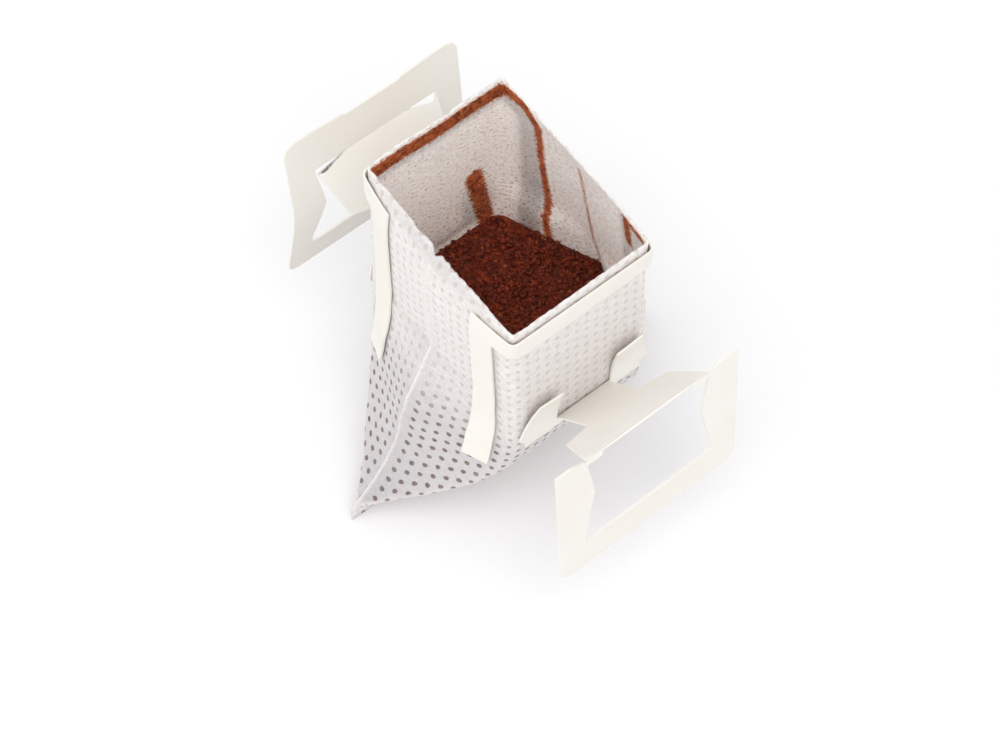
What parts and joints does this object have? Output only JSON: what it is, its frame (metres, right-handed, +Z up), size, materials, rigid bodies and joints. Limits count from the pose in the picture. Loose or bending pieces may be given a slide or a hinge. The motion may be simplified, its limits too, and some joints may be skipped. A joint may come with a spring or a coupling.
{
  "type": "drip coffee bag",
  "caption": "Single-serve pour-over filter pouch with ground coffee and fold-out card ears that hook over a cup's rim.",
  "frame": {"origin": "centre of the cup's rim that the bag is hooked over, in the plane of the rim's top", "axes": "+Z up, X along the pouch's mouth and the ears' fold lines, front ear towards -Y and back ear towards +Y"},
  "size_m": [0.0754, 0.084, 0.0745],
  "materials": {
    "filter_cloth": "matte",
    "ground_coffee": "matte",
    "white_card": "matte"
  },
  "bodies": {
    "root": {"filter_bag": "filter_cloth", "coffee_grounds": "ground_coffee", "front_mouth_card": "white_card", "back_mouth_card": "white_card", "front_ear": "white_card", "back_ear": "white_card"}
  },
  "joints": []
}
